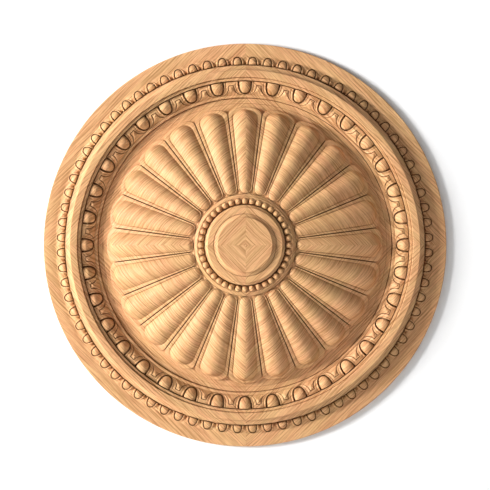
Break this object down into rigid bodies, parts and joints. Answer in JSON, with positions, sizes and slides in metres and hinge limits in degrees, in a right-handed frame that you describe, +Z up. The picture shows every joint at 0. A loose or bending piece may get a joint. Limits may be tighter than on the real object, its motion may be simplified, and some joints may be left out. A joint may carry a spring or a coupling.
{
  "type": "carved wooden rosette",
  "caption": "Round carved wooden rosette with a raised boss, a bead ring, radiating rounded petals and two egg-and-dart bands, for a wall or ceiling.",
  "frame": {"origin": "centre of the flat back, the face that is fixed to the wall", "axes": "-Y out of the wall through the middle of the carving, +Z up, +X to the right seen from the front"},
  "size_m": [0.6, 0.0614, 0.6],
  "materials": {
    "wood": "bare, finely sanded, satin"
  },
  "bodies": {
    "root": {"rosette": "wood"}
  },
  "joints": []
}
